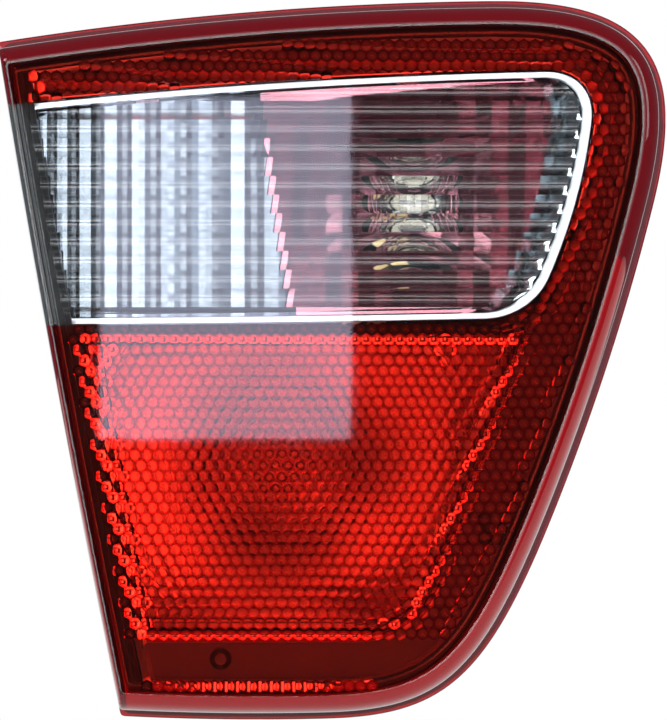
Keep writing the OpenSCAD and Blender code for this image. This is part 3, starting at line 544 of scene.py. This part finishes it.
def build_bezel():
    ways = spokes(WINDOW, WINDOW_MID, BEZEL_SPOKES)
    lip_planes = normal, distance = moved_in(WINDOW_PLANES, BEZEL_GAP + BEZEL_W)
    slope = CHEEK_SLOPE * normal[:, 0] * (normal[:, 0] > CHEEK_TURN)
    outer = window_ring(moved_in(WINDOW_PLANES, BEZEL_GAP), ways, BEZEL_LEFT)
    lip = window_ring(lip_planes, ways, BEZEL_LEFT)
    mouth = window_ring((normal, distance - slope), ways, BEZEL_LEFT)
    front, back = INNER_FACE - LIP_SINK, INNER_FACE - BEZEL_DEPTH
    rings = [at_depth(outer, back), at_depth(outer, front - LIP_ROUND)]
    rings += [at_depth(outer + (lip - outer) * share, front) for share in LIP_SHARES]
    along = closed_line(lip)[1][:-1]
    scallop = abs(np.sin(math.pi * along / SCALLOP)) * (mouth - lip)[:, 0] / -CHEEK_SLOPE
    for share in CHEEK_SHARES:
        ring = at_depth(lip + (mouth - lip) * share, front + (back - front) * share**CHEEK_POWER)
        ring[:, 1] -= SCALLOP_H * scallop.clip(0, 1) * math.sin(math.pi * share)
        rings.append(ring)
    points, faces = loft(rings, closed=True)
    return closed_mesh("window_bezel_ring", points, faces, BEZEL_CREASES)


# Bright strip that lies on the housing's land below the plain band: the insets and depths of its
# section, and where it ends
FOOT_STRIP = (
    (8.2, 27.02), (8.2, 27.3), (8.8, 27.7), (9.3, 27.87), (9.7, 27.92),
    (10.1, 27.87), (10.6, 27.7), (11.2, 27.3), (11.2, 27.02),
)
FOOT_ENDS = -50.0, 12.0
FOOT_CREASES = 50


def build_foot_strip():
    rings = [at_depth(lamp_ring(inset, LAND_LEFT), front) for inset, front in FOOT_STRIP]
    x, _, z = rings[0].T
    chosen = np.where((x > FOOT_ENDS[0]) & (x < FOOT_ENDS[1]) & (z < 0))[0]
    sections = [np.array([ring[k] for ring in rings]) for k in chosen]
    return closed_mesh("reflector_foot_strip", *loft(sections), FOOT_CREASES)


# Materials
PLASTIC_IOR = 1.49


def shader(name, **values):
    """A new material with a Principled shader, and its node tree and shader."""
    material = bpy.data.materials.new(name)
    material.use_nodes = True
    tree = material.node_tree
    principled = tree.nodes["Principled BSDF"]
    for key, value in values.items():
        principled.inputs[key.replace("_", " ")].default_value = value
    return material, tree, principled


def node(tree, kind, **values):
    new = tree.nodes.new(kind)
    for key, value in values.items():
        if key in new.inputs:
            new.inputs[key].default_value = value
        else:
            setattr(new, key, value)
    return new


def joined(tree, operation, first, second):
    """A sum over two sockets, or over a socket and a number."""
    both = node(tree, "ShaderNodeMath", operation=operation)
    tree.links.new(first, both.inputs[0])
    if isinstance(second, float):
        both.inputs[1].default_value = second
    else:
        tree.links.new(second, both.inputs[1])
    return both.outputs[0]


def own_axes(tree):
    """The object's own coordinates, one by one."""
    place = node(tree, "ShaderNodeTexCoord")
    axes = node(tree, "ShaderNodeSeparateXYZ")
    tree.links.new(place.outputs["Object"], axes.inputs[0])
    return axes.outputs


def own_noise(tree, scale, detail, stretch=(1, 1, 1)):
    """Noise over the object's own coordinates."""
    place = node(tree, "ShaderNodeTexCoord")
    turn = node(tree, "ShaderNodeMapping")
    turn.inputs["Scale"].default_value = stretch
    tree.links.new(place.outputs["Object"], turn.inputs["Vector"])
    noise = node(tree, "ShaderNodeTexNoise", Scale=scale, Detail=detail)
    tree.links.new(turn.outputs["Vector"], noise.inputs["Vector"])
    return noise.outputs["Fac"]


def ramp(tree, source, low, high, start=0.0, width=1.0):
    """Goes from low to high as a value goes from start over a width."""
    spread = node(tree, "ShaderNodeMapRange")
    ends = (("From Min", start), ("From Max", start + width), ("To Min", low), ("To Max", high))
    for key, value in ends:
        spread.inputs[key].default_value = value
    tree.links.new(source, spread.inputs["Value"])
    return spread.outputs["Result"]


def tint(tree, principled, share, first, second):
    """Gives a shader a colour that goes from the first to the second."""
    colour = node(tree, "ShaderNodeMix", data_type="RGBA")
    colour.inputs[6].default_value = (*first, 1)
    colour.inputs[7].default_value = (*second, 1)
    tree.links.new(share, colour.inputs[0])
    tree.links.new(colour.outputs[2], principled.inputs["Base Color"])


def add_bump(tree, principled, source, strength, distance):
    bump = node(tree, "ShaderNodeBump", Strength=strength, Distance=distance)
    tree.links.new(source, bump.inputs["Height"])
    tree.links.new(bump.outputs["Normal"], principled.inputs["Normal"])


def vary_roughness(tree, principled, source, low, high):
    tree.links.new(ramp(tree, source, low, high), principled.inputs["Roughness"])


def clear_plastic(name, colour, roughness=0.02):
    """Clear plastic or glass with a calm ripple."""
    material, tree, principled = shader(
        name, Base_Color=(*colour, 1), Roughness=roughness, IOR=PLASTIC_IOR, Transmission_Weight=1.0
    )
    ripple = own_noise(tree, scale=40, detail=2)
    add_bump(tree, principled, ripple, strength=0.03, distance=0.0003)
    return material


def red_plastic(name, colour, painted_valley_shade):
    """Red plastic, with a deeper red painted as shade in the valleys between the pillows of its
    inside.
    """
    material = clear_plastic(name, colour)
    tree = material.node_tree
    depth = own_axes(tree)["Y"]
    foot, rise = -INNER_FACE * MM, PILLOW_H * MM
    off_wall = ramp(tree, depth, 0.0, 1.0, start=foot + 0.00001, width=0.00003)
    low = ramp(tree, depth, 1.0, 0.0, start=foot + 0.42 * rise, width=0.25 * rise)
    # Painted shade: the low parts of the pillows, round the valleys, turn to the darker red that
    # stands in for the dark rings the pillows' refraction gives
    painted_shade_mask = joined(tree, "MULTIPLY", off_wall, low)
    tint(tree, tree.nodes["Principled BSDF"], painted_shade_mask, colour, painted_valley_shade)
    return material


def metallised(name, colour, roughness):
    """Vacuum-coated plastic, with haze and slow waves."""
    material, tree, principled = shader(
        name, Base_Color=(*colour, 1), Metallic=1.0, Roughness=roughness
    )
    haze = own_noise(tree, scale=90, detail=4)
    vary_roughness(tree, principled, haze, roughness * 0.6, roughness * 1.5)
    waves = own_noise(tree, scale=140, detail=2)
    add_bump(tree, principled, waves, strength=0.05, distance=0.0005)
    return material


def faceted(material, pitch, rise):
    """Steps a metallised surface in upright facets, pitch and rise in millimetres."""
    tree = material.node_tree
    principled = tree.nodes["Principled BSDF"]
    bend = joined(tree, "MULTIPLY", own_noise(tree, scale=25, detail=1), 0.004)
    along = joined(tree, "ADD", own_axes(tree)["X"], bend)
    tooth = joined(tree, "PINGPONG", along, pitch / 2 * MM)
    bump = node(tree, "ShaderNodeBump", Strength=1.0, Distance=rise / (pitch / 2))
    tree.links.new(tooth, bump.inputs["Height"])
    waves = principled.inputs["Normal"].links[0].from_socket
    tree.links.new(waves, bump.inputs["Normal"])
    tree.links.new(bump.outputs["Normal"], principled.inputs["Normal"])
    return material


def bowl_finish(name, coating, dark_flange_paint, plane):
    """Tail reflector: coated in the bowl and on the lips, bare on the flat flange at a plane, whose
    dark colour is painted shade.

    The bowl is satin, the lips are bright, and the collar beside the window is rougher.
    """
    material, tree, principled = shader(name, Roughness=0.1)
    axes = own_axes(tree)
    bowl = ramp(tree, axes["Y"], 0.0, 1.0, start=plane + 0.0001, width=0.0001)
    lips = ramp(tree, axes["Y"], 1.0, 0.0, start=plane - 0.0002, width=0.0001)
    beside_window = ramp(tree, axes["Z"], 0.0, 0.3, start=0.012, width=0.004)
    coated = joined(tree, "MAXIMUM", bowl, lips)
    rough = joined(tree, "ADD", joined(tree, "MULTIPLY", coated, -0.4), 0.47)
    for more in (
        joined(tree, "MULTIPLY", bowl, 0.2),
        joined(tree, "MULTIPLY", beside_window, lips),
    ):
        rough = joined(tree, "ADD", rough, more)
    haze = ramp(tree, own_noise(tree, scale=90, detail=4), 0.8, 1.2)
    rough = joined(tree, "MULTIPLY", rough, haze)
    tree.links.new(rough, principled.inputs["Roughness"])
    tree.links.new(coated, principled.inputs["Metallic"])
    # Painted shade: the bare flange takes the dark colour, standing in for the shade it shows in
    # the lamp
    tint(tree, principled, coated, dark_flange_paint, coating)
    waves = own_noise(tree, scale=140, detail=2)
    add_bump(tree, principled, waves, strength=0.05, distance=0.0005)
    return material


def moulded(name, colour, roughness, grain=900, strength=0.25):
    """Plastic, rubber or foam with a fine grain and duller patches."""
    material, tree, principled = shader(name, Base_Color=(*colour, 1), Roughness=roughness)
    texture = own_noise(tree, scale=grain, detail=3)
    add_bump(tree, principled, texture, strength, distance=0.0003)
    patch = own_noise(tree, scale=45, detail=3)
    vary_roughness(tree, principled, patch, roughness * 0.8, roughness * 1.2)
    return material


def drawn_metal(name, colour, roughness, stretch):
    """Metal with fine lines along the axis that is stretched."""
    material, tree, principled = shader(
        name, Base_Color=(*colour, 1), Metallic=1.0, Roughness=roughness
    )
    lines = own_noise(tree, scale=500, detail=3, stretch=stretch)
    vary_roughness(tree, principled, lines, roughness * 0.7, roughness * 1.6)
    add_bump(tree, principled, lines, strength=0.15, distance=0.0002)
    return material


def absorb(material, colour, density):
    """Gives a clear material a body colour that deepens with the way light has in it."""
    tree = material.node_tree
    body = node(tree, "ShaderNodeVolumeAbsorption", Density=density)
    body.inputs["Color"].default_value = (*colour, 1)
    tree.links.new(body.outputs[0], tree.nodes["Material Output"].inputs["Volume"])
    return material


# Surface tint of the red plastic, the darker red painted as shade in its valleys and on its rim,
# the colour of its body, and how strongly that takes up light, per metre. The coating is the same
# on the bowl and the foot strip; the dark colour of the bare flange is painted shade
RED_TINT = (0.99, 0.66, 0.62)
RED_PAINTED_VALLEY_SHADE = (0.42, 0.025, 0.03)
RED_PAINTED_RIM_SHADE = (0.5, 0.018, 0.035)
RED_BODY = (0.985, 0.45, 0.3)
RED_DENSITY = 900.0
COATING, FLANGE_PAINTED_SHADE = (0.9, 0.91, 0.93), (0.09, 0.085, 0.1)
FLANGE_PLANE = -0.022
ALONG_X, ALONG_Y, ALONG_Z = (0.1, 1, 1), (1, 0.1, 1), (1, 1, 0.1)
MATERIALS = {
    "red": absorb(red_plastic("red_lens_plastic", RED_TINT, RED_PAINTED_VALLEY_SHADE), RED_BODY, RED_DENSITY),
    # Painted shade: the rim's deeper red and its lower transmission stand in for the shade of the
    # dark housing behind it
    "rim": absorb(clear_plastic("red_rim_painted_shade", RED_PAINTED_RIM_SHADE), RED_BODY, RED_DENSITY),
    "clear": clear_plastic("clear_lens_plastic", (0.97, 0.985, 0.99)),
    "bezel": metallised("bezel_satin_chrome", (0.55, 0.57, 0.6), 0.36),
    "cheek": metallised("bezel_bright_chrome", (0.55, 0.6, 0.62), 0.12),
    "silver": metallised("reflector_silver_finish", (0.225, 0.255, 0.29), 0.2),
    "strip": metallised("foot_strip_finish", COATING, 0.12),
    "rose": faceted(metallised("reflector_rose_finish", (0.34, 0.14, 0.17), 0.17), 9.0, 0.5),
    "bowl": bowl_finish("tail_reflector_finish", COATING, FLANGE_PAINTED_SHADE, FLANGE_PLANE),
    "glass": clear_plastic("bulb_clear_glass", (0.98, 0.99, 0.99), 0.0),
    "black": moulded("housing_black", (0.016, 0.016, 0.018), 0.5),
    "carrier": moulded("carrier_black", (0.03, 0.03, 0.033), 0.45),
    "sealant": moulded("sealant_black", (0.012, 0.012, 0.013), 0.6, 500, 0.5),
    "dark_screw": drawn_metal("blackened_screw", (0.08, 0.08, 0.085), 0.4, ALONG_Y),
    "rubber": moulded("rubber_black", (0.016, 0.016, 0.017), 0.6, 700, 0.3),
    "foam": moulded("foam_black", (0.022, 0.022, 0.023), 0.9, 1600, 1.0),
    "zinc": drawn_metal("zinc_plate", (0.62, 0.63, 0.66), 0.3, ALONG_Y),
    "brass": drawn_metal("brass_strip", (0.78, 0.6, 0.3), 0.28, ALONG_Z),
    "cap": drawn_metal("cap_brass", (0.38, 0.35, 0.28), 0.25, ALONG_Y),
    "wire": drawn_metal("filament_wire", (0.4, 0.4, 0.42), 0.35, ALONG_X),
}
for key, socket, value in (
    ("black", "Specular IOR Level", 0.3),
    ("sealant", "Specular IOR Level", 0.2),
    ("rim", "Transmission Weight", 0.78),
):
    MATERIALS[key].node_tree.nodes["Principled BSDF"].inputs[socket].default_value = value

NODE_FINISH = {
    "lens_seal": "sealant", "housing": "black", "fluted_reflector": "silver",
    "reverse_bowl": "rose", "tail_reflector": "bowl", "reflector_screws": "dark_screw",
    "reverse_bulb_glass": "glass", "reverse_bulb_cap": "cap", "reverse_bulb_filament": "wire",
    "tail_bulb_glass": "glass", "tail_bulb_cap": "cap", "tail_bulb_filament": "wire",
    "bulb_carrier": "carrier", "carrier_seal": "rubber", "carrier_screws": "zinc",
    "ground_track": "brass", "reverse_track": "brass", "tail_track": "brass",
    "socket_springs": "brass", "body_gasket": "foam", "stud_top": "zinc",
    "stud_right": "zinc", "stud_bottom": "zinc", "vent_cap": "rubber",
}


def finish_with(piece, key):
    piece.data.materials.clear()
    piece.data.materials.append(MATERIALS[key])


# Where the rim's darker red, painted as shade, ends on the inside of the lens, a little way over
# the land. Outside, it ends with the shoulder
RIM_INSIDE, RIM_INSIDE_LEFT = LAND_INSET + 0.8, LAND_LEFT + 1.5
WALL_MARGIN = 0.1


def paint_rim_shade(piece):
    """Gives the lens's flange, shoulder and side walls the deeper red, painted as shade."""
    mesh = piece.data
    mesh.materials.append(MATERIALS["rim"])
    middle = np.empty(len(mesh.polygons) * 3)
    mesh.polygons.foreach_get("center", middle)
    middle = middle.reshape(-1, 3) / MM
    flat = middle[:, [0, 2]]
    inside = middle[:, 1] > -INNER_FACE - WALL_MARGIN
    edge = np.where(inside, RIM_INSIDE, STEP + SHOULDER)
    edge_left = np.where(inside, RIM_INSIDE_LEFT, STEP_LEFT + SHOULDER_LEFT)
    outer = depth_inside(flat, OTHER_PLANES) < edge
    outer |= depth_inside(flat, LEFT_PLANES) < edge_left
    mesh.polygons.foreach_set("material_index", outer.astype(np.int32))


def finish_cheek(piece):
    """Gives the part of the bright ring behind its lip the brighter chrome."""
    piece.data.materials.append(MATERIALS["cheek"])
    for face in piece.data.polygons:
        face.material_index = int(face.center.y > (CHEEK_START - INNER_FACE) * MM)


for name, key in NODE_FINISH.items():
    finish_with(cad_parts[name], key)

red_lens, clear_lens = build_lenses()
bezel = build_bezel()
for piece, key, replaced, slot in (
    (red_lens, "red", "red_lens", "red_plastic"),
    (clear_lens, "clear", "clear_lens", "clear_plastic"),
    (bezel, "bezel", "window_bezel", "bright_trim"),
):
    finish_with(piece, key)
    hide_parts(replaced)
    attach(piece, "root")
paint_rim_shade(red_lens)
finish_cheek(bezel)
foot_strip = build_foot_strip()
finish_with(foot_strip, "strip")
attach(foot_strip, "root")


# Camera at the photograph's angle
PHOTO_W = 667
PIXEL = 0.27
AIM = (0.27, -14.0, 0.135)
CAMERA_AWAY = 1400.0


def add_camera():
    data = bpy.data.cameras.new("camera")
    camera = linked("camera", data)
    camera.location = to_metres((AIM[0], AIM[1] - CAMERA_AWAY, AIM[2]))
    camera.rotation_euler = (math.pi / 2, 0, 0)
    data.sensor_fit = "HORIZONTAL"
    data.sensor_width = 36
    data.lens = data.sensor_width * CAMERA_AWAY / (PHOTO_W * PIXEL)
    data.clip_start = 0.05
    data.clip_end = 50
    bpy.context.scene.camera = camera


# Studio, in metres
def bare_tree(owner):
    """The emptied node tree of a material or world."""
    owner.use_nodes = True
    owner.node_tree.nodes.clear()
    return owner.node_tree


def put_out(tree, kind, socket):
    out = node(tree, kind)
    tree.links.new(socket, out.inputs["Surface"])


def seen_directly(tree):
    """One for the camera, metal and glass, and nothing for the light that falls on the object."""
    rays = node(tree, "ShaderNodeLightPath").outputs
    first = joined(tree, "MAXIMUM", rays["Is Camera Ray"], rays["Is Glossy Ray"])
    return joined(tree, "MAXIMUM", first, rays["Is Transmission Ray"])


def paper(name, colour, strength):
    """A pale surface that the camera, metal and glass see at a plain strength of its own."""
    material = bpy.data.materials.new(name)
    tree = bare_tree(material)
    plain = node(tree, "ShaderNodeBsdfDiffuse")
    plain.inputs["Color"].default_value = (*colour, 1)
    glow = node(tree, "ShaderNodeEmission", Strength=strength)
    both = node(tree, "ShaderNodeMixShader")
    tree.links.new(seen_directly(tree), both.inputs["Fac"])
    tree.links.new(plain.outputs[0], both.inputs[1])
    tree.links.new(glow.outputs[0], both.inputs[2])
    put_out(tree, "ShaderNodeOutputMaterial", both.outputs[0])
    return material


def add_world(diffuse_strength):
    """White for the camera, metal and glass, and dimmer as a light."""
    world = bpy.data.worlds.new("studio")
    bpy.context.scene.world = world
    tree = bare_tree(world)
    sky = node(tree, "ShaderNodeBackground")
    sky.inputs["Color"].default_value = (1, 1, 1, 1)
    level = ramp(tree, seen_directly(tree), diffuse_strength, 1.0)
    tree.links.new(level, sky.inputs["Strength"])
    put_out(tree, "ShaderNodeOutputWorld", sky.outputs[0])


def add_area(name, place, width, height, power):
    """A soft lamp that is turned to the object."""
    data = bpy.data.lights.new(name, "AREA")
    data.shape = "RECTANGLE"
    data.size, data.size_y = width, height
    data.energy = power
    lamp = linked(name, data)
    lamp.location = place
    lamp.rotation_euler = (-Vector(place)).to_track_quat("-Z", "Y").to_euler()


def stage_plane(name, corners, material, seen=True):
    mesh = bpy.data.meshes.new(name)
    mesh.from_pydata(corners, [], [(0, 1, 2, 3)])
    mesh.materials.append(material)
    plane = linked(name, mesh)
    plane.visible_camera = seen
    return plane


def room_panel(name, corners, colour, strength):
    """A studio wall, card or soft light that only reflections and clear materials see."""
    material = bpy.data.materials.new(name)
    tree = bare_tree(material)
    glow = node(tree, "ShaderNodeEmission", Strength=strength)
    glow.inputs["Color"].default_value = (*colour, 1)
    put_out(tree, "ShaderNodeOutputMaterial", glow.outputs[0])
    panel = stage_plane(name, corners, material, seen=False)
    panel.visible_diffuse = False
    panel.visible_shadow = False


def upright(name, y, left, right, low, high, colour, strength):
    corners = [(left, y, low), (right, y, low), (right, y, high), (left, y, high)]
    room_panel(name, corners, colour, strength)


FLOOR_Z = CAD_BOX[0].z - 0.0005
FLOOR_SIDE, FLOOR_FRONT, FLOOR_BACK = 0.6, -0.11, 0.7
WHITE, WALL_BLUE, VEIL_BLUE = (1, 1, 1), (0.8, 0.9, 1.0), (0.72, 0.76, 1.0)
NEAR, FAR_Y, ROOM = 5.0, -2.6, 1.7
FRONT_WALL, SIDE_WALL = 1.2, 0.1

add_camera()
add_world(0.75)
stage_plane(
    "floor",
    [
        (-FLOOR_SIDE, FLOOR_FRONT, FLOOR_Z), (FLOOR_SIDE, FLOOR_FRONT, FLOOR_Z),
        (FLOOR_SIDE, FLOOR_BACK, FLOOR_Z), (-FLOOR_SIDE, FLOOR_BACK, FLOOR_Z),
    ],
    paper("floor_paper", (0.9, 0.9, 0.9), 1.0),
)
upright("room_front", FAR_Y, -ROOM, ROOM, -ROOM, ROOM, WALL_BLUE, FRONT_WALL)
for name, x in (("room_left", -ROOM), ("room_right", ROOM)):
    wall = [(x, FAR_Y, -ROOM), (x, NEAR, -ROOM), (x, NEAR, ROOM), (x, FAR_Y, ROOM)]
    room_panel(name, wall, WALL_BLUE, SIDE_WALL)
for name, z in (("room_top", ROOM), ("room_base", -ROOM)):
    wall = [(-ROOM, FAR_Y, z), (ROOM, FAR_Y, z), (ROOM, NEAR, z), (-ROOM, NEAR, z)]
    room_panel(name, wall, WALL_BLUE, SIDE_WALL)

# A wide light behind a dark card where the camera stands, and before it the light whose mirror
# image lies over the window and the field
upright("wide_light", -2.25, -0.85, 0.85, -0.75, 0.9, WHITE, 4.8)
upright("camera_card", -2.2, -0.27, 0.27, -0.28, 0.28, WHITE, 0.03)
upright("window_light", -2.1, -0.155, 0.012, -0.052, 0.175, VEIL_BLUE, 6.5)
add_area("key", (-0.9, -1.0, 0.9), 0.7, 0.5, 9)
add_area("fill", (1.1, -0.7, 0.4), 0.5, 0.8, 5)

bpy.context.scene.view_settings.view_transform = "Standard"
